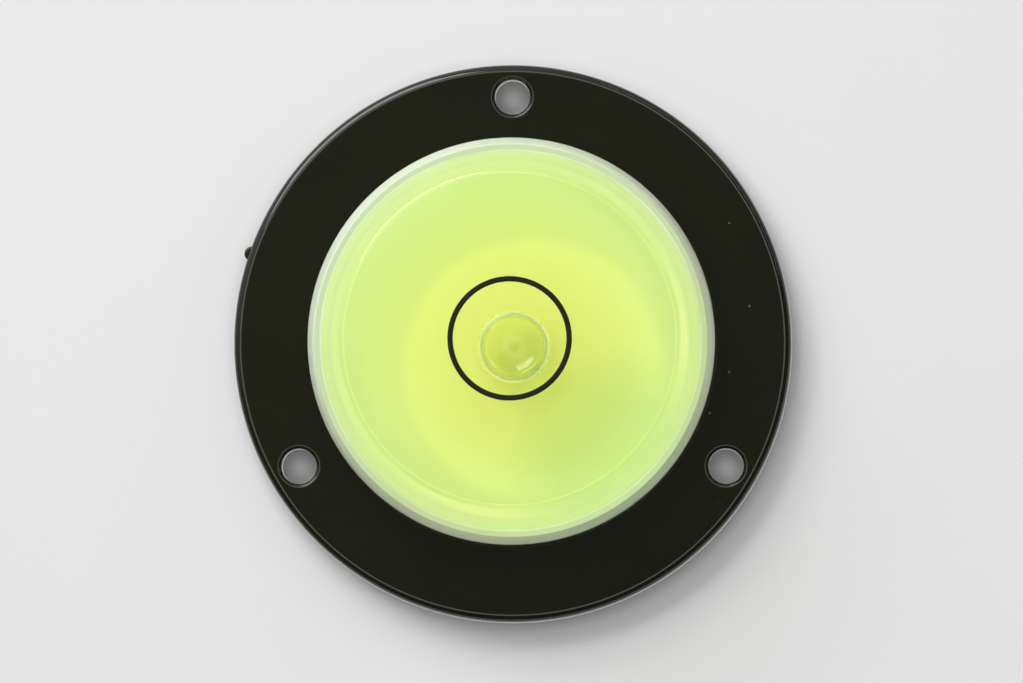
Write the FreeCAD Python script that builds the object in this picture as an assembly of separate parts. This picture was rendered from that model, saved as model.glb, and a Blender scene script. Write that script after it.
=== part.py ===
import FreeCAD, Part
import math
import os

os.makedirs("parts", exist_ok=True)

# A round bullseye level: a clear vial of spirit with one bubble, standing in a black screw-down flange.
# Millimetres. Z is up, and the origin is the centre of the flange's flat underside.

# Vial body, the clear cap that holds the spirit
vial_diameter = 21.7
vial_taper = 1.85  # how far the sloping side leans in, from the shoulder to the top
vial_rise = 6.5  # top face above the flange
shoulder_rise = 2.8  # where the straight side ends, above the flange
top_edge_bevel = 0.25
foot_bevel = 0.15
top_wall = 1.4  # over the crown of the dome
dome_radius = 115.0  # hollow underside of the top, which the bubble climbs
seat_wall = 1.0  # beside the base plug
seat_step = 0.75  # ledge that the base plug is pushed up against
chamber_taper = 0.1  # how far the wall of the spirit chamber leans in, to leave its mould

# Base plug, the milky disc that closes the vial and shows as its pale floor
plug_rise = 2.35  # floor of the chamber above the flange
plug_clearance = 0.03
plug_edge_bevel = 0.2

# Flange, the black ring with the screw holes
flange_width = 4.15  # ring seen outside the vial, which makes the flange 30 mm across
flange_thickness = 2.0
flange_edge_round = 0.4
flange_foot_bevel = 0.2
ledge_thickness = 0.6  # lip under the vial's foot
ledge_width = 1.6
vial_clearance = 0.05
screw_hole_count = 3
first_hole_angle = 90.0
screw_hole_diameter = 1.9
screw_hole_bevel = 0.2
rim_margin = 0.85  # flange left outside each screw hole
gate_angle = 161.0  # stub left where the ring was cut from its mould
gate_width = 0.8
gate_height = 0.9
gate_stub = 0.2

# Target ring, black paint in a fine groove of the top face
target_diameter = 6.3  # along the middle of the line
target_line = 0.3
target_depth = 0.15

# Bubble, a flattened drop of air held under the dome
bubble_diameter = 3.9
bubble_bulge = 0.45  # how far its side swells out past the flat that lies against the dome
bubble_depth = 1.2  # from its widest circle to its lowest point
bubble_side_share = 0.75  # radius of its round side, as a share of that depth
bubble_film = 0.03  # spirit left between the bubble and the dome
bubble_offset_x = 0.2
bubble_offset_y = -0.4

# Worked out from the sizes above
vial_radius = vial_diameter / 2
vial_top_radius = vial_radius - vial_taper
flange_radius = vial_radius + flange_width
vial_foot_z = ledge_thickness
shoulder_z = flange_thickness + shoulder_rise
vial_top_z = flange_thickness + vial_rise
dome_top_z = vial_top_z - top_wall
plug_top_z = flange_thickness + plug_rise
seat_radius = vial_radius - seat_wall
chamber_radius = seat_radius - seat_step
hole_circle_radius = flange_radius - rim_margin - screw_hole_diameter / 2

up = FreeCAD.Vector(0, 0, 1)
centre = FreeCAD.Vector(0, 0, 0)


def on_section(radius, height):
    return FreeCAD.Vector(radius, 0, height)


def rounded_section(corners):
    # A closed outline through (radius, height, rounding) corners, each rounding a tangent arc.
    starts = []
    ends = []
    arcs = []
    for index, (radius, height, rounding) in enumerate(corners):
        corner = on_section(radius, height)
        before = on_section(*corners[index - 1][:2])
        after = on_section(*corners[(index + 1) % len(corners)][:2])
        back = (before - corner).normalize()
        ahead = (after - corner).normalize()
        if rounding == 0:
            starts.append(corner)
            ends.append(corner)
            arcs.append(None)
            continue
        half_angle = back.getAngle(ahead) / 2
        run = rounding / math.tan(half_angle)
        inward = (back + ahead).normalize()
        reach = rounding / math.sin(half_angle) - rounding
        starts.append(corner + back * run)
        ends.append(corner + ahead * run)
        arcs.append(Part.Arc(starts[-1], corner + inward * reach, ends[-1]).toShape())
    edges = []
    for index, arc in enumerate(arcs):
        if arc:
            edges.append(arc)
        following = starts[(index + 1) % len(starts)]
        edges.append(Part.makeLine(ends[index], following))
    return Part.Wire(edges)


def turned(corners):
    # The solid that the outline sweeps in one full turn about the Z axis.
    return Part.Face(rounded_section(corners)).revolve(centre, up, 360)


def disc(radius, low_z, high_z):
    return Part.makeCylinder(radius, high_z - low_z, FreeCAD.Vector(0, 0, low_z))


def sagitta(radius, half_width):
    # How far an arc of this radius falls away from its crown at this distance.
    return radius - math.sqrt(radius**2 - half_width**2)


def make_screw_hole():
    # A hole through the flange at +X, with a small bevel at its mouth.
    radius = screw_hole_diameter / 2
    place = FreeCAD.Vector(hole_circle_radius, 0, 0)
    hole = Part.makeCylinder(radius, flange_thickness, place)
    mouth_place = place + up * (flange_thickness - screw_hole_bevel)
    mouth = Part.makeCone(radius, radius + screw_hole_bevel, screw_hole_bevel, mouth_place)
    return hole.fuse(mouth)


def make_gate_stub():
    # A small rounded stub on the rim, sunk in the ring by its own width.
    height_above = (flange_thickness - gate_height) / 2
    place = FreeCAD.Vector(flange_radius + gate_stub - gate_width / 2, 0, height_above)
    stub = Part.makeCylinder(gate_width / 2, gate_height, place)
    stub.rotate(centre, up, gate_angle)
    return stub


def make_flange():
    # The ring, stepped inside: the vial's foot stands on the lip round its opening.
    pocket_radius = vial_radius + vial_clearance
    lip_radius = pocket_radius - ledge_width
    ring = turned(
        [
            (lip_radius, 0, 0),
            (flange_radius - flange_foot_bevel, 0, 0),
            (flange_radius, flange_foot_bevel, 0),
            (flange_radius, flange_thickness, flange_edge_round),
            (pocket_radius, flange_thickness, 0),
            (pocket_radius, ledge_thickness, 0),
            (lip_radius, ledge_thickness, 0),
        ]
    )
    ring = ring.fuse(make_gate_stub())
    for number in range(screw_hole_count):
        hole = make_screw_hole()
        hole.rotate(centre, up, first_hole_angle + number * 360 / screw_hole_count)
        ring = ring.cut(hole)
    return ring


def make_chamber():
    # The space for spirit and bubble: a round well with a leaning wall, closed by the dome.
    height = dome_top_z - plug_top_z
    well = Part.makeCone(chamber_radius, chamber_radius - chamber_taper, height, up * plug_top_z)
    # The ball's own axis lies level, so that neither of its poles falls in the dome.
    ball = Part.makeSphere(dome_radius, up * (dome_top_z - dome_radius), FreeCAD.Vector(1, 0, 0))
    return well.common(ball)


def make_target_ring():
    outer = (target_diameter + target_line) / 2
    inner = (target_diameter - target_line) / 2
    low_z = vial_top_z - target_depth
    return disc(outer, low_z, vial_top_z).cut(disc(inner, low_z, vial_top_z))


def make_vial_body(chamber, target_ring):
    # The clear cap, open below: plug seat, spirit chamber and the groove for the ring cut out.
    block = turned(
        [
            (0, vial_foot_z, 0),
            (vial_radius - foot_bevel, vial_foot_z, 0),
            (vial_radius, vial_foot_z + foot_bevel, 0),
            (vial_radius, shoulder_z, 0),
            (vial_top_radius, vial_top_z - top_edge_bevel, 0),
            (vial_top_radius - top_edge_bevel, vial_top_z, 0),
            (0, vial_top_z, 0),
        ]
    )
    seat = disc(seat_radius, vial_foot_z, plug_top_z)
    return block.cut(seat).cut(chamber).cut(target_ring)


def make_base_plug():
    # A disc pushed up into its seat, with a bevel that leads it in past the vial's foot.
    radius = seat_radius - plug_clearance
    return turned(
        [
            (0, vial_foot_z, 0),
            (radius - plug_edge_bevel, vial_foot_z, 0),
            (radius, vial_foot_z + plug_edge_bevel, 0),
            (radius, plug_top_z, 0),
            (0, plug_top_z, 0),
        ]
    )


def make_bubble():
    # A turned drop: a crown that follows the dome, a round side and a shallower belly tangent to it.
    radius = bubble_diameter / 2
    flat_radius = radius - bubble_bulge
    side_radius = bubble_depth * bubble_side_share
    side_x = radius - side_radius
    crown_z = dome_top_z - bubble_film
    flat_z = crown_z - sagitta(dome_radius, flat_radius)
    side_z = flat_z - math.sqrt(side_radius**2 - (flat_radius - side_x) ** 2)
    bottom_z = side_z - bubble_depth
    belly_radius = (side_x**2 + bubble_depth**2 - side_radius**2) / 2 / (bubble_depth - side_radius)
    belly_middle = on_section(0, bottom_z + belly_radius)
    outward = (on_section(side_x, side_z) - belly_middle).normalize()
    meeting = belly_middle + outward * belly_radius
    half_way = (outward - up).normalize()
    crown = Part.Arc(
        on_section(flat_radius, flat_z),
        on_section(flat_radius / 2, crown_z - sagitta(dome_radius, flat_radius / 2)),
        on_section(0, crown_z),
    )
    side = Part.Arc(meeting, on_section(radius, side_z), crown.StartPoint)
    belly = Part.Arc(on_section(0, bottom_z), belly_middle + half_way * belly_radius, meeting)
    spine = Part.makeLine(crown.EndPoint, belly.StartPoint)
    outline = Part.Wire([belly.toShape(), side.toShape(), crown.toShape(), spine])
    bubble = Part.Face(outline).revolve(centre, up, 360)
    bubble.translate(FreeCAD.Vector(bubble_offset_x, bubble_offset_y, 0))
    return bubble


def make_spirit(chamber):
    # The liquid fills the chamber, apart from the bubble closed up inside it.
    return chamber.cut(make_bubble())


chamber = make_chamber()
target_ring = make_target_ring()
pieces = {
    "base_flange": make_flange(),
    "vial_body": make_vial_body(chamber, target_ring),
    "base_plug": make_base_plug(),
    "spirit_fill": make_spirit(chamber),
    "target_ring": target_ring,
}

for node, shape in pieces.items():
    shape.exportStep("parts/" + node + ".step")
    print(node, "solids", len(shape.Solids), "valid", shape.isValid(), "mm3", round(shape.Volume, 2))
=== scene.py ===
import math
import bpy
import numpy as np
from mathutils import Matrix


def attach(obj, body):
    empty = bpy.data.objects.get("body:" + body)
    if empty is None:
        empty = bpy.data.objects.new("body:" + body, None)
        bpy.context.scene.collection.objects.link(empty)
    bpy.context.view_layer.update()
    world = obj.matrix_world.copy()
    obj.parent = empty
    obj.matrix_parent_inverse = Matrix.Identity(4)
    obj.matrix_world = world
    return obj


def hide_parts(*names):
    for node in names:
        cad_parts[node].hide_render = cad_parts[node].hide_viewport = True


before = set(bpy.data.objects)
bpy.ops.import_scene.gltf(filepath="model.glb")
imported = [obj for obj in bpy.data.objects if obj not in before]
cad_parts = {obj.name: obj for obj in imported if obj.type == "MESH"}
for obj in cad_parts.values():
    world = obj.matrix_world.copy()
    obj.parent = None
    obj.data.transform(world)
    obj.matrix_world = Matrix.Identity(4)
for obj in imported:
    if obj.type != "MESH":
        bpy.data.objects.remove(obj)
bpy.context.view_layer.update()  # base_flange, vial_body, base_plug, spirit_fill, target_ring
mm = 0.001  # the sizes of the pieces are in millimetres
perMetre = 1000.0
scene = bpy.context.scene


# Shapes

def roundedOutline(corners, closed=False, arcSteps=8):
    # A corner (radius, height, rounding) becomes the arc that touches both its sides: middle + rounding times a
    # unit vector that turns from one side to the other. Long straight runs get extra points, close to their ends.
    corners = np.array([(*c, 0.0)[:3] for c in corners], float)
    places = corners[:, :2]
    bits = []
    for i, (place, rounding) in enumerate(zip(places, corners[:, 2])):
        if rounding == 0:
            bits.append(place[None])
            continue
        back = places[i - 1] - place
        ahead = places[(i + 1) % len(places)] - place
        back, ahead = back / np.hypot(*back), ahead / np.hypot(*ahead)
        half = math.acos(np.clip(back @ ahead, -1, 1)) / 2
        inward = (back + ahead) / np.hypot(*(back + ahead))
        middle = place + inward * rounding / math.sin(half)
        start = place + back * rounding / math.tan(half) - middle
        end = place + ahead * rounding / math.tan(half) - middle
        sweep = math.pi - 2 * half
        t = np.linspace(0, 1, arcSteps + 1)[:, None]
        bits.append(middle + (np.sin((1 - t) * sweep) * start + np.sin(t * sweep) * end) / math.sin(sweep))
    points = np.concatenate(bits + ([bits[0][:1]] if closed else []))
    steps = np.diff(points, axis=0)
    longRuns = np.hypot(*steps.T) > 0.9
    shares = np.array([0.0, 0.02, 0.08, 0.3, 0.5, 0.7, 0.92, 0.98])  # of a long run, where its points lie
    runs = [p + s * (shares if far else shares[:1])[:, None] for p, s, far in zip(points[:-1], steps, longRuns)]
    return np.concatenate(runs + ([] if closed else [points[-1:]]))


def turnedShell(outline, count=224, closed=False, at=(0, 0)):
    # A point (radius, height) of the outline and an angle a give x = radius cos a, y = radius sin a, z = height.
    # An outline drawn down the outside faces outwards. Its ends on the axis are single points, with a fan round each.
    first = 0 if closed or outline[0, 0] > 0 else 1
    last = len(outline) - (0 if closed or outline[-1, 0] > 0 else 1)
    rings = outline[first:last]
    angles = np.arange(count) * 2 * math.pi / count
    x = rings[:, :1] * np.cos(angles) + at[0]
    y = rings[:, :1] * np.sin(angles) + at[1]
    z = np.repeat(rings[:, 1:], count, axis=1)
    places = np.stack([x, y, z], 2).reshape(-1, 3)
    number = np.arange(len(places)).reshape(len(rings), count)
    below = np.roll(number, -1, 0) if closed else number[1:]
    above = number if closed else number[:-1]
    quads = np.stack([above, below, np.roll(below, -1, 1), np.roll(above, -1, 1)], 2).reshape(-1, 4)
    fans = []
    if first:
        places = np.concatenate([places, [[at[0], at[1], outline[0, 1]]]])
        tip = np.full(count, len(places) - 1)
        fans.append(np.stack([tip, number[0], np.roll(number[0], -1)], 1))
    if last < len(outline):
        places = np.concatenate([places, [[at[0], at[1], outline[-1, 1]]]])
        tip = np.full(count, len(places) - 1)
        fans.append(np.stack([tip, np.roll(number[-1], -1), number[-1]], 1))
    return places, quads, np.concatenate(fans) if fans else np.zeros((0, 3), int)


def sheet(grid, ring=True):
    # Quads between neighbouring points of a grid (rows, columns, 3). In a ring the last column meets the first.
    number = np.arange(grid.shape[0] * grid.shape[1]).reshape(grid.shape[:2])
    left = number if ring else number[:, :-1]
    right = np.roll(number, -1, 1) if ring else number[:, 1:]
    quads = np.stack([left[:-1], left[1:], right[1:], right[:-1]], 2).reshape(-1, 4)
    return grid.reshape(-1, 3), quads


def welded(sheets):  # sheets that meet in the same points, to a millionth of a millimetre, become one shell
    starts = np.cumsum([0] + [len(places) for places, quads in sheets[:-1]])
    places = np.round(np.concatenate([places for places, quads in sheets]), 6)
    quads = np.concatenate([quads + start for (places, quads), start in zip(sheets, starts)])
    kept, number = np.unique(places, axis=0, return_inverse=True)
    return kept, number.reshape(-1)[quads], np.zeros((0, 3), int)


def makePiece(name, shells, materials, replaced, sharpAngle=28):
    # The shells' points, one after another, in metres, each shell in its own material. Edges that turn by more
    # than sharpAngle degrees stay crisp.
    mesh = bpy.data.meshes.new(name)
    places, faces, slots, start = [], [], [], 0
    for number, (shellPlaces, quads, fans) in enumerate(shells):
        places.append(shellPlaces)
        faces += (quads + start).tolist() + (fans + start).tolist()
        slots.append(np.full(len(quads) + len(fans), number))
        start += len(shellPlaces)
    mesh.from_pydata((np.concatenate(places) * mm).tolist(), [], faces)
    for material in materials:
        mesh.materials.append(material)
    mesh.polygons.foreach_set("material_index", np.concatenate(slots))
    mesh.shade_smooth()
    mesh.set_sharp_from_angle(angle=math.radians(sharpAngle))
    piece = bpy.data.objects.new(name, mesh)
    scene.collection.objects.link(piece)
    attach(piece, "root")
    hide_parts(*replaced)
    print("piece", name, len(faces), "faces")
    return piece


def sagitta(radius, halfWidth):  # how far an arc falls away from its crown
    return radius - np.sqrt(radius**2 - halfWidth**2)


def domeHeights(top, radius, widths):  # the dome's height at each distance from the axis
    return np.stack([widths, top - sagitta(radius, widths)], 1)


# Effects that several materials share

def newGroup(name, inputs, outputs):
    group = bpy.data.node_groups.new(name, "ShaderNodeTree")
    for label, kind, value in inputs:
        socket = group.interface.new_socket(name=label, in_out="INPUT", socket_type=kind)
        socket.default_value = value
    for label, kind in outputs:
        group.interface.new_socket(name=label, in_out="OUTPUT", socket_type=kind)
    inlet, outlet = group.nodes.new("NodeGroupInput"), group.nodes.new("NodeGroupOutput")
    return group, inlet, outlet


def feed(tree, socket, value):  # with a number, a colour or another node's output
    if isinstance(value, (int, float)):
        socket.default_value = value
    elif isinstance(value, tuple):
        socket.default_value = (*value, 1.0)[:4]
    else:
        tree.links.new(value, socket)


def feedAll(tree, node, values):  # Base_Color stands for the input called Base Color
    for label, value in values.items():
        feed(tree, node.inputs[label.replace("_", " ")], value)


def mathNode(tree, operation, a, b=0.0, clamp=False):
    node = tree.nodes.new("ShaderNodeMath")
    node.operation = operation
    node.use_clamp = clamp
    feed(tree, node.inputs[0], a)
    feed(tree, node.inputs[1], b)
    return node.outputs[0]


def edgeMask(tree, far, near, steepness):  # rises from 0 where far and near are the same, and stops at 1
    return mathNode(tree, "MULTIPLY", mathNode(tree, "SUBTRACT", far, near), steepness, True)


def noiseNode(tree, vector, scale, detail=3.0, roughness=0.5):
    node = tree.nodes.new("ShaderNodeTexNoise")
    feedAll(tree, node, {"Vector": vector, "Scale": scale, "Detail": detail, "Roughness": roughness})
    return node.outputs["Fac"]


def mixColour(tree, share, a, b):
    node = tree.nodes.new("ShaderNodeMix")
    node.data_type = "RGBA"
    for number, value in ((0, share), (6, a), (7, b)):  # where the node keeps its colour sockets
        feed(tree, node.inputs[number], value)
    return node.outputs[2]


def spread(tree, value, low, high):  # a value from 0 to 1 laid between low and high
    node = tree.nodes.new("ShaderNodeMapRange")
    feedAll(tree, node, {"Value": value, "To Min": low, "To Max": high})
    return node.outputs["Result"]


def mouldedFinish():
    # Colour clouds, uneven polish and a faint ripple, as a moulding has them.
    group, inlet, outlet = newGroup(
        "mouldedFinish",
        [("Colour", "NodeSocketColor", (0.5, 0.5, 0.5, 1)), ("Cloud Colour", "NodeSocketColor", (0.4, 0.4, 0.4, 1)),
         ("Cloud Scale", "NodeSocketFloat", 150.0), ("Grain Scale", "NodeSocketFloat", 2500.0),
         ("Smoothest", "NodeSocketFloat", 0.1), ("Roughest", "NodeSocketFloat", 0.2)],
        [("Colour", "NodeSocketColor"), ("Roughness", "NodeSocketFloat"), ("Height", "NodeSocketFloat")])
    place = group.nodes.new("ShaderNodeTexCoord").outputs["Object"]
    cloud = noiseNode(group, place, inlet.outputs["Cloud Scale"], 4.0, 0.55)
    grain = noiseNode(group, place, inlet.outputs["Grain Scale"], 2.0, 0.5)
    clouded = spread(group, cloud, -0.5, 1.5)
    colour = mixColour(group, clouded, inlet.outputs["Colour"], inlet.outputs["Cloud Colour"])
    cloudPart, grainPart = mathNode(group, "MULTIPLY", cloud, 0.7), mathNode(group, "MULTIPLY", grain, 0.3)
    polish = mathNode(group, "ADD", cloudPart, grainPart)
    rough = spread(group, polish, inlet.outputs["Smoothest"], inlet.outputs["Roughest"])
    height = mathNode(group, "ADD", mathNode(group, "MULTIPLY", cloud, 3.0), grain)
    feedAll(group, outlet, {"Colour": colour, "Roughness": rough, "Height": height})
    return group


def specks():
    # Small scattered spots: 1 inside a Voronoi cell's core, for the share of cells that a random value picks.
    group, inlet, outlet = newGroup(
        "specks",
        [("Scale", "NodeSocketFloat", 900.0), ("Size", "NodeSocketFloat", 0.1), ("Share", "NodeSocketFloat", 0.1)],
        [("Mask", "NodeSocketFloat")])
    place = group.nodes.new("ShaderNodeTexCoord").outputs["Object"]
    cells = group.nodes.new("ShaderNodeTexVoronoi")
    feedAll(group, cells, {"Vector": place, "Scale": inlet.outputs["Scale"]})
    red = group.nodes.new("ShaderNodeSeparateColor")
    group.links.new(cells.outputs["Color"], red.inputs["Color"])
    near = mathNode(group, "LESS_THAN", cells.outputs["Distance"], inlet.outputs["Size"])
    picked = mathNode(group, "LESS_THAN", red.outputs["Red"], inlet.outputs["Share"])
    group.links.new(mathNode(group, "MULTIPLY", near, picked), outlet.inputs["Mask"])
    return group


def fromAxis():
    # Distance from an upright axis in millimetres, with a little wander, and the height in millimetres.
    group, inlet, outlet = newGroup(
        "fromAxis",
        [("Axis X", "NodeSocketFloat", 0.0), ("Axis Y", "NodeSocketFloat", 0.0),
         ("Wander", "NodeSocketFloat", 0.0), ("Wander Scale", "NodeSocketFloat", 300.0)],
        [("Radius", "NodeSocketFloat"), ("Height", "NodeSocketFloat")])
    place = group.nodes.new("ShaderNodeTexCoord").outputs["Object"]
    parts = group.nodes.new("ShaderNodeSeparateXYZ")
    group.links.new(place, parts.inputs[0])
    x = mathNode(group, "SUBTRACT", parts.outputs["X"], inlet.outputs["Axis X"])
    y = mathNode(group, "SUBTRACT", parts.outputs["Y"], inlet.outputs["Axis Y"])
    square = mathNode(group, "ADD", mathNode(group, "MULTIPLY", x, x), mathNode(group, "MULTIPLY", y, y))
    radius = mathNode(group, "MULTIPLY", mathNode(group, "SQRT", square), perMetre)
    drift = mathNode(group, "SUBTRACT", noiseNode(group, place, inlet.outputs["Wander Scale"]), 0.5)
    moved = mathNode(group, "ADD", radius, mathNode(group, "MULTIPLY", drift, inlet.outputs["Wander"]))
    height = mathNode(group, "MULTIPLY", parts.outputs["Z"], perMetre)
    feedAll(group, outlet, {"Radius": moved, "Height": height})
    return group


groups = {make.__name__: make() for make in (mouldedFinish, specks, fromAxis)}
print("groups", sorted(groups))


def useGroup(tree, name, **values):
    node = tree.nodes.new("ShaderNodeGroup")
    node.node_tree = groups[name]
    feedAll(tree, node, values)
    return node


def aroundPoint(tree, at, **wander):  # distances from an upright axis through this point, in millimetres
    return useGroup(tree, "fromAxis", Axis_X=at[0] * mm, Axis_Y=at[1] * mm, **wander)


def newMaterial(name, **plain):
    material = bpy.data.materials.new(name)
    material.use_nodes = True
    shader = material.node_tree.nodes["Principled BSDF"]
    feedAll(material.node_tree, shader, plain)
    return material, material.node_tree, shader


def pieceFinish(tree, look):
    # The moulded finish at a piece's own scales and polish, and in its two colours if it has them.
    colours = {"Colour": look["colour"], "Cloud_Colour": look["cloudColour"]} if "cloudColour" in look else {}
    return useGroup(tree, "mouldedFinish", Cloud_Scale=look["cloudScale"], Grain_Scale=look["grainScale"],
                    Smoothest=look["smoothest"], Roughest=look["roughest"], **colours)


def addRipple(tree, shader, finish, distance):  # a bump this deep, in metres
    bump = tree.nodes.new("ShaderNodeBump")
    feedAll(tree, bump, {"Strength": 1.0, "Distance": distance, "Height": finish.outputs["Height"]})
    tree.links.new(bump.outputs["Normal"], shader.inputs["Normal"])


def openTo(tree, shader, rays, tint):  # these rays go straight through, tinted on their way
    clear = tree.nodes.new("ShaderNodeBsdfTransparent")
    feed(tree, clear.inputs["Color"], tint)
    mix = tree.nodes.new("ShaderNodeMixShader")
    for socket, value in zip(mix.inputs, (rays, shader.outputs[0], clear.outputs[0])):
        tree.links.new(value, socket)
    tree.links.new(mix.outputs[0], tree.nodes["Material Output"].inputs["Surface"])


def letLampsThrough(tree, shader, tint):  # so that lamps reach what lies behind the glass
    openTo(tree, shader, tree.nodes.new("ShaderNodeLightPath").outputs["Is Shadow Ray"], tint)


# Black flange

blackFlange = {
    "radius": 15.0, "topRadius": 14.9, "topZ": 2.0, "edgeRound": 0.4, "footRound": 0.2,
    "pocketRadius": 10.9, "pocketRound": 0.06, "ledgeZ": 0.6, "lipRadius": 9.3, "lipRound": 0.04,
    "holes": 3, "firstHole": 90.0, "holeCircle": 13.2, "holeRadius": 0.95, "holeRound": 0.2, "holeFootRound": 0.04,
    "fieldInner": 11.02, "fieldOuter": 14.45, "fieldHalf": 12.0,  # the field round each hole, in mm and degrees
    "halfTurnRays": 60, "columns": 97,  # in a field, and between two fields
    "gateAngle": 161.0, "gateCircle": 14.8, "gateRadius": 0.4, "gateLow": 0.55, "gateTop": 1.45, "gateRound": 0.08,
    "colour": (0.0068, 0.0075, 0.0018), "cloudColour": (0.0085, 0.0092, 0.0024),
    "dust": (0.10, 0.105, 0.09), "dustShare": 0.5, "dustRough": 0.3,
    "cloudScale": 160.0, "grainScale": 2600.0, "smoothest": 0.03, "roughest": 0.11, "ripple": 1.2e-6,
}


def turnedGrid(outline, angles):  # x = radius cos angle, y = radius sin angle, z = height
    x, y = outline[:, :1] * np.cos(angles), outline[:, :1] * np.sin(angles)
    return np.stack([x, y, np.repeat(outline[:, 1:], len(angles), axis=1)], 2)


def flangeShell(f):
    # Rays leave a hole's centre C at a distance R from the axis, in directions a. A ray meets the circle of radius
    # r at the distance -R cos a +- sqrt(r^2 - R^2 sin^2 a), and the line through the axis at the angle h at
    # R sin h / sin(|a| - h). The nearest of these is the edge of the hole's field. In between, and inside and
    # outside the fields, the ring is a turned outline, with the same points along the fields' edges.
    circle, half = f["holeCircle"], math.radians(f["fieldHalf"])
    limits = np.array([f["fieldInner"], f["fieldOuter"]])
    cornerTurns = np.arctan2(limits * math.sin(half), limits * math.cos(half) - circle)
    rays = f["halfTurnRays"]
    turns = np.arange(1 - rays, 1 + rays) * math.pi / rays
    turns = np.sort(np.concatenate([turns, cornerTurns, -cornerTurns]))
    across, away = np.cos(turns), np.abs(turns)
    inner = f["fieldInner"] ** 2 - (circle * np.sin(turns)) ** 2
    inner = np.where((inner > 0) & (across < 0), -circle * across - np.sqrt(np.maximum(inner, 0)), np.inf)
    outer = -circle * across + np.sqrt(f["fieldOuter"] ** 2 - (circle * np.sin(turns)) ** 2)
    past, least = away - half, 0.01
    side = np.where(past > least, circle * math.sin(half) / np.sin(np.maximum(past, least)), np.inf)
    side = np.where(side > 0, side, np.inf)
    reach = np.minimum(np.minimum(inner, outer), side)
    edgeX, edgeY = circle + reach * across, reach * np.sin(turns)
    edgeRadius, edgeAngle, same = np.hypot(edgeX, edgeY), np.arctan2(edgeY, edgeX), 1e-7
    onOuter = np.sort(edgeAngle[np.abs(edgeRadius - f["fieldOuter"]) < same])
    onInner = np.sort(edgeAngle[np.abs(edgeRadius - f["fieldInner"]) < same])
    onSide = np.sort(edgeRadius[np.abs(edgeAngle - half) < same])

    footRadius, mouthRadius = f["holeRadius"] + 0.1, f["holeRadius"] + f["holeRound"] + 0.02
    wall = roundedOutline([
        (footRadius, 0), (f["holeRadius"], 0, f["holeFootRound"]),
        (f["holeRadius"], f["topZ"], f["holeRound"]), (mouthRadius, f["topZ"])])
    steps = np.array([0.05, 0.2, 0.5, 1.0])[:, None]  # from the hole's edge to the field's
    foot = wall[0, 0] + steps[::-1] * (reach - wall[0, 0])
    top = wall[-1, 0] + steps * (reach - wall[-1, 0])
    distance = np.concatenate([foot, np.repeat(wall[:, :1], len(turns), axis=1), top])
    height = np.concatenate([np.zeros(len(foot)), wall[:, 1], np.full(len(top), f["topZ"])])

    spacing = 2 * math.pi / f["holes"]
    between = np.linspace(half, spacing - half, f["columns"])
    rim = roundedOutline([
        (f["fieldOuter"], f["topZ"]), (f["topRadius"], f["topZ"], f["edgeRound"]),
        (f["radius"], 0, f["footRound"]), (f["fieldOuter"], 0)], arcSteps=10)
    pocket = roundedOutline([
        (f["fieldInner"], 0), (f["lipRadius"], 0, f["lipRound"]), (f["lipRadius"], f["ledgeZ"], f["lipRound"]),
        (f["pocketRadius"], f["ledgeZ"]), (f["pocketRadius"], f["topZ"], f["pocketRound"]),
        (f["fieldInner"], f["topZ"])])
    starts = math.radians(f["firstHole"]) + np.arange(f["holes"]) * spacing
    sheets = []
    for start in starts:
        x = circle + distance * across
        y = distance * np.sin(turns)
        place = np.stack([x * math.cos(start) - y * math.sin(start), x * math.sin(start) + y * math.cos(start),
                          np.repeat(height[:, None], len(turns), axis=1)], 2)
        sheets.append(sheet(place))
        sheets.append(sheet(turnedGrid(np.stack([onSide, onSide * 0 + f["topZ"]], 1), start + between), False))
        sheets.append(sheet(turnedGrid(np.stack([onSide[::-1], onSide * 0], 1), start + between), False))
    for outline, onEdge in ((rim, onOuter), (pocket, onInner)):
        angles = np.concatenate([start + np.concatenate([onEdge, between[1:-1]]) for start in starts])
        sheets.append(sheet(turnedGrid(outline, angles)))
    return welded(sheets)


def gateOutline(f):  # a short cylinder with rounded ends, sunk in the rim
    return roundedOutline([
        (0, f["gateTop"]), (f["gateRadius"], f["gateTop"], f["gateRound"]),
        (f["gateRadius"], f["gateLow"], f["gateRound"]), (0, f["gateLow"])])


def glossyBlack():
    look = blackFlange
    material, tree, shader = newMaterial("glossyBlack", IOR=1.5)
    finish = pieceFinish(tree, look)
    dust = useGroup(tree, "specks", Scale=950.0, Size=0.06, Share=0.06)
    dusty = mathNode(tree, "MULTIPLY", dust.outputs["Mask"], look["dustShare"])
    tree.links.new(mixColour(tree, dusty, finish.outputs["Colour"], look["dust"]), shader.inputs["Base Color"])
    duller = mathNode(tree, "MULTIPLY", dust.outputs["Mask"], look["dustRough"])
    tree.links.new(mathNode(tree, "ADD", finish.outputs["Roughness"], duller), shader.inputs["Roughness"])
    addRipple(tree, shader, finish, look["ripple"])
    return material


gateAngle = math.radians(blackFlange["gateAngle"])
gateAt = (blackFlange["gateCircle"] * math.cos(gateAngle), blackFlange["gateCircle"] * math.sin(gateAngle))
makePiece("blackFlange", [flangeShell(blackFlange), turnedShell(gateOutline(blackFlange), 48, at=gateAt)],
          [glossyBlack()] * 2, ["base_flange"])


# Clear vial body

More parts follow.
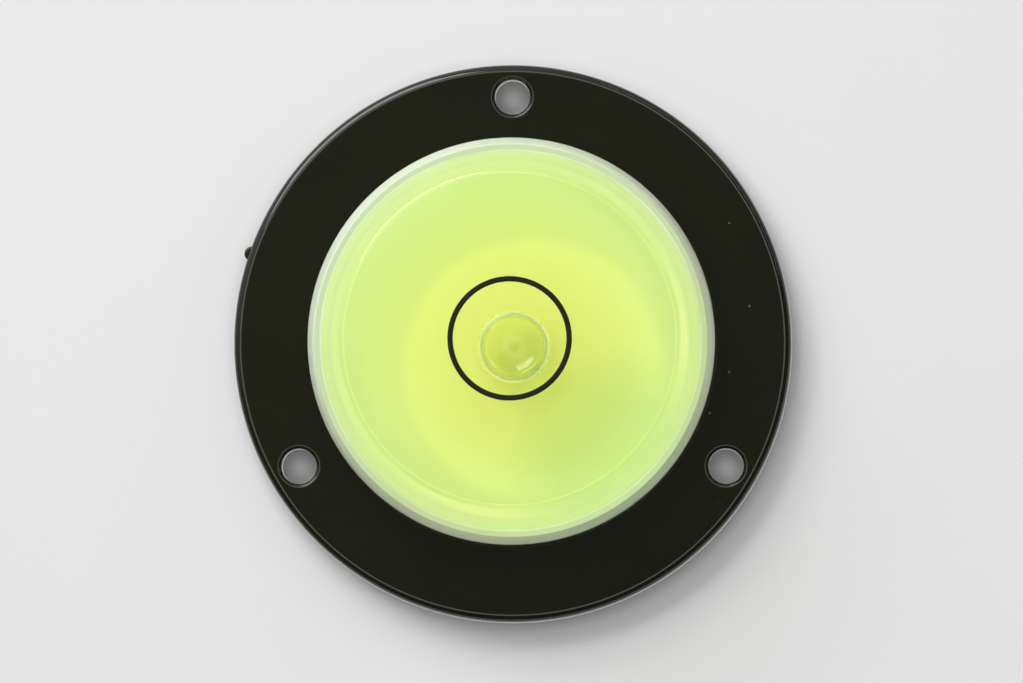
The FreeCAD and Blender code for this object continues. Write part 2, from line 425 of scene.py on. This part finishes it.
vialBody = {
    "radius": 10.85, "footZ": 0.6, "shoulderZ": 4.8, "topRadius": 9.0, "topZ": 8.5,
    "footRound": 0.15, "shoulderRound": 0.3, "topRound": 0.4,
    "seatRadius": 9.8, "seatZ": 4.34, "chamberRadius": 9.1, "rimRadius": 9.013, "rimRound": 0.12,
    "domeZ": 7.1, "domeRadius": 115.0, "domeMargin": 0.4,  # the dome's points stop this far short of its rim
    "grooveOuter": 3.29, "grooveInner": 3.01, "grooveZ": 8.36, "grooveRound": 0.03,
    "tint": (0.965, 0.99, 0.955), "cloudScale": 120.0, "grainScale": 1800.0,
    "smoothest": 0.0, "roughest": 0.035, "ripple": 1.5e-6,
    "shade": (0.95, 0.97, 0.945), "castShade": (0.25, 0.29, 0.23),  # a lamp's light on its way in, and past the vial
    "slopeShade": (0.87, 0.925, 0.95), "slopeFrom": 8.9, "slopeEdge": 4.0,
    "chamberIor": 1.072, "chamberShade": (0.985, 0.995, 0.98),  # the step from the acrylic to the spirit
}


def vialOutline(v):
    # Down the outside, round the foot, up the seat and chamber, and along the dome: top - (R - sqrt(R^2 - r^2)).
    rimZ = v["domeZ"] - sagitta(v["domeRadius"], v["rimRadius"])
    dome = domeHeights(v["domeZ"], v["domeRadius"], np.linspace(v["rimRadius"] - v["domeMargin"], 0, 30))
    return roundedOutline([
        (0, v["topZ"]),
        (v["grooveInner"], v["topZ"], v["grooveRound"]), (v["grooveInner"], v["grooveZ"]),
        (v["grooveOuter"], v["grooveZ"]), (v["grooveOuter"], v["topZ"], v["grooveRound"]),
        (v["topRadius"], v["topZ"], v["topRound"]),
        (v["radius"], v["shoulderZ"], v["shoulderRound"]),
        (v["radius"], v["footZ"], v["footRound"]),
        (v["seatRadius"], v["footZ"]),
        (v["seatRadius"], v["seatZ"]),
        (v["chamberRadius"], v["seatZ"]),
        (v["rimRadius"], rimZ, v["rimRound"]),
        *dome.tolist(),
    ])


def clearAcrylic():
    look = vialBody
    material, tree, shader = newMaterial("clearAcrylic", Base_Color=look["tint"], IOR=1.49, Transmission_Weight=1.0)
    finish = pieceFinish(tree, look)
    tree.links.new(finish.outputs["Roughness"], shader.inputs["Roughness"])
    addRipple(tree, shader, finish, look["ripple"])
    place = useGroup(tree, "fromAxis", Wander=0.2, Wander_Scale=300.0)
    onSlope = edgeMask(tree, place.outputs["Radius"], look["slopeFrom"], look["slopeEdge"])
    # Light that has gone in through the acrylic is bent, so that little of it reaches what lies beside the vial.
    leaving = tree.nodes.new("ShaderNodeNewGeometry").outputs["Backfacing"]
    inside = mixColour(tree, onSlope, look["shade"], look["slopeShade"])
    letLampsThrough(tree, shader, mixColour(tree, leaving, look["castShade"], inside))
    return material


def chamberSkin():  # where the acrylic meets the spirit, which bends light almost as much
    material, tree, shader = newMaterial(
        "chamberSkin", Base_Color=vialBody["chamberShade"], IOR=vialBody["chamberIor"],
        Transmission_Weight=1.0, Roughness=0.0)
    letLampsThrough(tree, shader, vialBody["chamberShade"])
    return material


def inChamber(v, x, y, z):  # whether a point is on the chamber's wall or dome
    slack = 0.01
    return (np.hypot(x, y) < v["chamberRadius"] + slack) & (z > v["seatZ"] + slack / 10) & (z < v["domeZ"] + slack)


vial = makePiece("clearVial", [turnedShell(vialOutline(vialBody))], [clearAcrylic(), chamberSkin()],
                 ["vial_body"])
middles = np.empty(len(vial.data.polygons) * 3)
vial.data.polygons.foreach_get("center", middles)
vial.data.polygons.foreach_set("material_index", inChamber(vialBody, *(middles.reshape(-1, 3).T / mm)).astype(int))


# Milky base plug

basePlug = {
    "radius": 9.82, "footZ": 0.6, "topZ": 4.35, "footRound": 0.2, "topRound": 0.02,
    "colour": (0.84, 0.88, 0.78), "cloudColour": (0.79, 0.85, 0.70), "rimColour": (0.51, 0.62, 0.39),
    "cloudScale": 90.0, "grainScale": 2200.0, "smoothest": 0.3, "roughest": 0.45, "ripple": 2e-6,
    # painted glow: emission on the plug that stands in for light from the spirit's dye
    "glow": (0.36, 0.40, 0.05), "paintedGlowRadius": 9.35, "paintedGlowEdge": 3.0, "paintedGlowStrength": 0.34, "paintedGlowDepth": 0.05,
    "paintedSideGlowFrom": 1.5, "paintedSideGlowRise": 0.25,  # the height from which the side has painted glow, and how fast it rises
    # a painted pool of light where the lamp shines in through the flat top, with a painted darker edge
    "paintedPoolGlow": (0.66, 0.62, 0.16), "paintedPoolEdgeGlow": (0.32, 0.35, 0.03),
    "paintedPoolAt": (1.2, -1.5), "paintedPoolRadius": 7.1, "paintedPoolSpan": 10.0,
    # painted shade: a lobe away from the window where the painted glow is weaker
    "paintedShadeGlow": (0.20, 0.33, 0.02), "paintedShadeAt": (6.0, -6.6), "paintedShadeRadius": 6.4, "paintedShadeEdge": 0.33,
}


def plugOutline(p):  # a disc with its upper and lower edges rounded
    return roundedOutline([
        (0, p["topZ"]), (p["radius"], p["topZ"], p["topRound"]),
        (p["radius"], p["footZ"], p["footRound"]), (0, p["footZ"]),
    ])


def milkyPlastic():
    # Painted glow: the plug's emission stands in for the light that the spirit's dye gives the floor it covers. It is
    # a soft disc inside its radius, and it shows faintly at the side as far as the flange. Beyond the disc the top
    # takes the darker rimColour. A painted pool of light, where the lamp shines in through the flat top, lies beside
    # the centre with a painted darker edge and glows warmest. A painted shade makes the glow least at the side far
    # from the window.
    p = basePlug
    material, tree, shader = newMaterial(
        "milkyPlastic", IOR=1.49, Specular_IOR_Level=0.12, Emission_Strength=p["paintedGlowStrength"])
    finish = pieceFinish(tree, p)
    tree.links.new(finish.outputs["Roughness"], shader.inputs["Roughness"])
    addRipple(tree, shader, finish, p["ripple"])
    place = useGroup(tree, "fromAxis", Wander=0.3, Wander_Scale=200.0)
    # painted glow: a soft disc on the plug's top, and a faint band up its side
    inside = edgeMask(tree, p["paintedGlowRadius"], place.outputs["Radius"], p["paintedGlowEdge"])
    atTop = mathNode(tree, "GREATER_THAN", place.outputs["Height"], p["topZ"] - p["paintedGlowDepth"])
    outside = mathNode(tree, "MULTIPLY", mathNode(tree, "SUBTRACT", 1.0, inside), atTop)
    tree.links.new(mixColour(tree, outside, finish.outputs["Colour"], p["rimColour"]), shader.inputs["Base Color"])
    paintedSideGlow = edgeMask(tree, place.outputs["Height"], p["paintedSideGlowFrom"], p["paintedSideGlowRise"])
    share = mathNode(tree, "MAXIMUM", mathNode(tree, "MULTIPLY", inside, atTop), paintedSideGlow)
    # painted pool of light: the glow is warmest inside the pool and darker at its painted edge
    paintedPool = aroundPoint(tree, p["paintedPoolAt"], Wander=0.5, Wander_Scale=250.0)
    ramp = tree.nodes.new("ShaderNodeValToRGB")
    ramp.color_ramp.interpolation = "EASE"
    stops = [(-0.7, "paintedPoolGlow"), (0.3, "paintedPoolEdgeGlow"), (0.8, "paintedPoolEdgeGlow"), (1.7, "glow")]  # mm beyond its radius
    ramp.color_ramp.elements.new(0.5)  # the two middle stops, put in place below
    ramp.color_ramp.elements.new(0.6)
    for element, (beyond, colour) in zip(ramp.color_ramp.elements, stops):
        element.position = (p["paintedPoolRadius"] + beyond) / p["paintedPoolSpan"]
        element.color = (*p[colour], 1.0)
    tree.links.new(mathNode(tree, "MULTIPLY", paintedPool.outputs["Radius"], 1 / p["paintedPoolSpan"]), ramp.inputs[0])
    # painted shade: the glow is weaker in this lobe, away from the window
    far = aroundPoint(tree, p["paintedShadeAt"], Wander=0.8, Wander_Scale=250.0)
    inPaintedShade = edgeMask(tree, p["paintedShadeRadius"], far.outputs["Radius"], p["paintedShadeEdge"])
    glow = mixColour(tree, inPaintedShade, ramp.outputs["Color"], p["paintedShadeGlow"])
    tree.links.new(mixColour(tree, share, (0.0, 0.0, 0.0), glow), shader.inputs["Emission Color"])
    return material


makePiece("basePlug", [turnedShell(plugOutline(basePlug))], [milkyPlastic()], ["base_plug"])


# Spirit with its bubble

spiritFill = {
    "floorZ": 4.36, "floorRadius": 9.09, "rimRadius": 9.003, "rimRound": 0.12,
    "domeZ": 7.09, "domeRadius": 115.0, "domeMargin": 0.4,
    "colour": (0.805, 0.826, 0.385), "rimColour": (0.79, 0.88, 0.55), "rimFull": 8.8,
    "filmColour": (1.0, 1.0, 0.98), "filmEdge": 6.0, "shade": (0.80, 0.805, 0.67),
}
bubble = {
    "at": (0.2, -0.4), "radius": 1.95, "sideRadius": 0.9, "flatRadius": 1.5, "depth": 1.2,
    "crownZ": 7.07, "domeRadius": 115.0, "filmRadius": 1.62, "filmDepth": 0.1,  # the clear film over its crown
    "crownColour": (0.99, 1.0, 0.97), "shoulderColour": (0.88, 0.95, 0.52), "shoulderEdge": 6.0,
    "bellyColour": (0.76, 0.83, 0.26), "bellyTop": 6.3,
    "crownShade": (0.98, 0.98, 0.96), "bellyShade": (0.45, 0.56, 0.40),
}


def spiritOutline(s):  # along the dome, top - (R - sqrt(R^2 - r^2)), round its rim and down the leaning wall
    rimZ = s["domeZ"] - sagitta(s["domeRadius"], s["rimRadius"])
    dome = domeHeights(s["domeZ"], s["domeRadius"], np.linspace(0, s["rimRadius"] - s["domeMargin"], 30))
    return roundedOutline([
        *dome.tolist(), (s["rimRadius"], rimZ, s["rimRound"]),
        (s["floorRadius"], s["floorZ"]), (0, s["floorZ"]),
    ])


def bubbleOutline(b):
    # From its lowest point up, so that it faces out of the spirit: a belly arc, a rounder side arc that meets it
    # without a kink, and the flat crown. Each arc is x = middle + R sin t, z = middle - R cos t.
    sideX = b["radius"] - b["sideRadius"]
    crown = domeHeights(b["crownZ"], b["domeRadius"], np.linspace(b["flatRadius"], 0, 24))
    sideZ = crown[0, 1] - math.sqrt(b["sideRadius"] ** 2 - (b["flatRadius"] - sideX) ** 2)
    bottomZ = sideZ - b["depth"]
    bellyRadius = (sideX**2 + b["depth"] ** 2 - b["sideRadius"] ** 2) / 2 / (b["depth"] - b["sideRadius"])
    meetAngle = math.atan2(sideX, bottomZ + bellyRadius - sideZ)
    t = np.linspace(0, meetAngle, 64)
    belly = np.stack([bellyRadius * np.sin(t), bottomZ + bellyRadius * (1 - np.cos(t))], 1)
    t = np.linspace(meetAngle, math.pi - math.asin((b["flatRadius"] - sideX) / b["sideRadius"]), 48)[1:-1]
    side = np.stack([sideX + b["sideRadius"] * np.sin(t), sideZ - b["sideRadius"] * np.cos(t)], 1)
    return np.concatenate([belly, side, crown])


def greenSpirit():
    # Paler towards the rim, and clear in the thin film over the bubble's flat crown. The chamber's own faces do
    # the bending, so this skin bends nothing and only tints.
    look = spiritFill
    material, tree, shader = newMaterial("greenSpirit", IOR=1.0, Transmission_Weight=1.0, Roughness=0.0)
    place = useGroup(tree, "fromAxis", Wander=1.2, Wander_Scale=120.0)
    outward = mathNode(tree, "MULTIPLY", place.outputs["Radius"], 1 / look["rimFull"], True)
    colour = mixColour(tree, mathNode(tree, "MULTIPLY", outward, outward), look["colour"], look["rimColour"])
    near = aroundPoint(tree, bubble["at"])
    inFilm = edgeMask(tree, bubble["filmRadius"], near.outputs["Radius"], look["filmEdge"])
    high = mathNode(tree, "GREATER_THAN", near.outputs["Height"], bubble["crownZ"] - bubble["filmDepth"])
    film = mathNode(tree, "MULTIPLY", inFilm, high)
    tree.links.new(mixColour(tree, film, colour, look["filmColour"]), shader.inputs["Base Color"])
    letLampsThrough(tree, shader, mixColour(tree, film, look["shade"], look["filmColour"]))
    return material


def bubbleSkin():
    # Clear on its flat crown, tinted round it, and below its widest circle in the colour of the spirit under it.
    look = bubble
    material, tree, shader = newMaterial("bubbleSkin", IOR=1.39, Transmission_Weight=1.0, Roughness=0.0)
    place = aroundPoint(tree, look["at"])
    low = mathNode(tree, "LESS_THAN", place.outputs["Height"], look["bellyTop"])
    outer = edgeMask(tree, place.outputs["Radius"], look["flatRadius"], look["shoulderEdge"])
    crown = mixColour(tree, outer, look["crownColour"], look["shoulderColour"])
    tree.links.new(mixColour(tree, low, crown, look["bellyColour"]), shader.inputs["Base Color"])
    letLampsThrough(tree, shader, mixColour(tree, low, look["crownShade"], look["bellyShade"]))
    return material


makePiece(
    "spiritFill",
    [turnedShell(spiritOutline(spiritFill)), turnedShell(bubbleOutline(bubble), 192, at=bubble["at"])],
    [greenSpirit(), bubbleSkin()], ["spirit_fill"], 40)


# Target ring

targetRing = {
    "outer": 3.3, "inner": 3.0, "lowZ": 8.35, "topZ": 8.496, "round": 0.03,
    "colour": (0.010, 0.012, 0.004), "cloudColour": (0.016, 0.018, 0.007),
    "cloudScale": 900.0, "grainScale": 9000.0, "smoothest": 0.4, "roughest": 0.6, "ripple": 2e-6,
}


def ringOutline(r):  # a closed rectangle, rounded at its two upper corners
    return roundedOutline([
        (r["inner"], r["topZ"], r["round"]), (r["outer"], r["topZ"], r["round"]),
        (r["outer"], r["lowZ"]), (r["inner"], r["lowZ"]),
    ], closed=True, arcSteps=4)


def ringPaint():
    material, tree, shader = newMaterial("ringPaint", IOR=1.45, Specular_IOR_Level=0.12)
    finish = pieceFinish(tree, targetRing)
    tree.links.new(finish.outputs["Colour"], shader.inputs["Base Color"])
    tree.links.new(finish.outputs["Roughness"], shader.inputs["Roughness"])
    addRipple(tree, shader, finish, targetRing["ripple"])
    return material


makePiece("targetRing", [turnedShell(ringOutline(targetRing), closed=True)], [ringPaint()],
          ["target_ring"])


# Floor, light, camera

stageLook = {
    "floorSize": 3.0, "floorZ": -0.00003, "floorNear": 0.0012,  # metres
    "floorColour": (0.80, 0.80, 0.81), "floorCloud": (0.775, 0.775, 0.785), "floorScale": 60.0,
    "worldColour": (1.0, 0.995, 0.985),
    "room": 0.10, "overhead": 1.9, "zenith": 0.15,  # how bright the world is low down, overhead and right above
    "window": 0.8, "windowFrom": (-0.52, 0.74, 0.42), "windowEdge": 65.0, "windowFull": 20.0,
    "overheadFrom": 29.0, "overheadFull": 23.0, "zenithFrom": 11.0, "zenithFull": 8.0,  # degrees from straight up
    "under": 0.45, "underEdge": 80.0, "underFull": 60.0,  # light from below, which only reaches the underside
    "keyFrom": (-0.24, 0.34, 0.42), "keyWidth": 0.40, "keyHeight": 0.13, "keyPower": 1.4,
    "lowFrom": (-0.30, 0.43, 0.27), "lowWidth": 0.35, "lowHeight": 0.12, "lowPower": 0.8,
    "sideFrom": (0.36, 0.36, 0.30), "sideWidth": 0.55, "sideHeight": 0.02, "sidePower": 0.28,
}
camera = {
    "tilt": 2.5, "towards": (0.51, -0.86),  # degrees from straight above, and to which side
    "distance": 0.5, "aim": (0.0, 0.0, 0.004), "lens": 330.0, "clip": (0.01, 10.0),
}


def paleFloor():
    material, tree, shader = newMaterial("paleFloor", Roughness=0.7)
    place = tree.nodes.new("ShaderNodeTexCoord").outputs["Object"]
    cloud = noiseNode(tree, place, stageLook["floorScale"], 5.0, 0.6)
    colour = mixColour(tree, cloud, stageLook["floorColour"], stageLook["floorCloud"])
    tree.links.new(colour, shader.inputs["Base Color"])
    # Seen from below it is clear, and so it is to rays that reach it from close by, which then light the underside.
    below = tree.nodes.new("ShaderNodeNewGeometry").outputs["Backfacing"]
    rayLength = tree.nodes.new("ShaderNodeLightPath").outputs["Ray Length"]
    near = mathNode(tree, "LESS_THAN", rayLength, stageLook["floorNear"])
    openTo(tree, shader, mathNode(tree, "MAXIMUM", below, near), (1.0, 1.0, 1.0))
    return material


halfFloor = stageLook["floorSize"] / 2
floorCorners = [(x * halfFloor, y * halfFloor, stageLook["floorZ"]) for x, y in ((-1, -1), (1, -1), (1, 1), (-1, 1))]
floorMesh = bpy.data.meshes.new("floor")
floorMesh.from_pydata(floorCorners, [], [(0, 1, 2, 3)])
floorMesh.materials.append(paleFloor())
floor = bpy.data.objects.new("floor", floorMesh)
scene.collection.objects.link(floor)


def studioWorld():
    # A dim room with a soft window at one side and a bright ring overhead, dark in its middle behind the camera.
    look = stageLook
    world = bpy.data.worlds.new("studio")
    world.use_nodes = True
    scene.world = world
    tree = world.node_tree
    direction = tree.nodes.new("ShaderNodeTexCoord").outputs["Generated"]

    def rise(middle, start, end, strength):  # up to its strength between these degrees from the middle direction
        facing = tree.nodes.new("ShaderNodeVectorMath")
        facing.operation = "DOT_PRODUCT"
        tree.links.new(direction, facing.inputs[0])
        facing.inputs[1].default_value = np.array(middle) / np.linalg.norm(middle)
        node = tree.nodes.new("ShaderNodeMapRange")
        node.interpolation_type = "SMOOTHSTEP"
        limits = {"From Min": math.cos(math.radians(start)), "From Max": math.cos(math.radians(end))}
        feedAll(tree, node, {"Value": facing.outputs["Value"], **limits})
        return mathNode(tree, "MULTIPLY", node.outputs["Result"], strength)

    up, down = (0.0, 0.0, 1.0), (0.0, 0.0, -1.0)
    ring = rise(up, look["overheadFrom"], look["overheadFull"], look["overhead"] - look["room"])
    spot = rise(up, look["zenithFrom"], look["zenithFull"], look["overhead"] - look["zenith"])
    window = rise(look["windowFrom"], look["windowEdge"], look["windowFull"], look["window"])
    under = mathNode(tree, "ADD", rise(down, look["underEdge"], look["underFull"], look["under"]), look["room"])
    glow = mathNode(tree, "SUBTRACT", mathNode(tree, "ADD", mathNode(tree, "ADD", ring, window), under), spot)
    feedAll(tree, tree.nodes["Background"], {"Color": look["worldColour"], "Strength": glow})


def pointAt(thing, place, target, top):  # looks along -Z, with its own +Y towards top
    back = (place - target) / np.linalg.norm(place - target)
    side = np.cross(top, back)
    side /= np.linalg.norm(side)
    turn = np.eye(4)
    turn[:3] = np.stack([side, np.cross(back, side), back, place], 1)
    thing.matrix_world = Matrix(turn.tolist())


def softLight(name, place, width, height, power):
    lamp = bpy.data.lights.new(name, "AREA")
    lamp.shape, lamp.size, lamp.size_y, lamp.energy = "RECTANGLE", width, height, power
    light = bpy.data.objects.new(name, lamp)
    scene.collection.objects.link(light)
    pointAt(light, np.array(place), np.array(camera["aim"]), (0, 0, 1))


studioWorld()
for label in ("key", "low", "side"):
    softLight(label + "Light", *(stageLook[label + part] for part in ("From", "Width", "Height", "Power")))

tilt = math.radians(camera["tilt"])
aim = np.array(camera["aim"])
away = np.array([camera["towards"][0] * math.sin(tilt), camera["towards"][1] * math.sin(tilt), math.cos(tilt)])
cameraData = bpy.data.cameras.new("camera")
cameraData.lens = camera["lens"]
cameraData.clip_start, cameraData.clip_end = camera["clip"]
cameraObject = bpy.data.objects.new("camera", cameraData)
scene.collection.objects.link(cameraObject)
pointAt(cameraObject, aim + away * camera["distance"], aim, (0, 1, 0))
scene.camera = cameraObject
scene.view_settings.view_transform = "Standard"
print("stage ready")
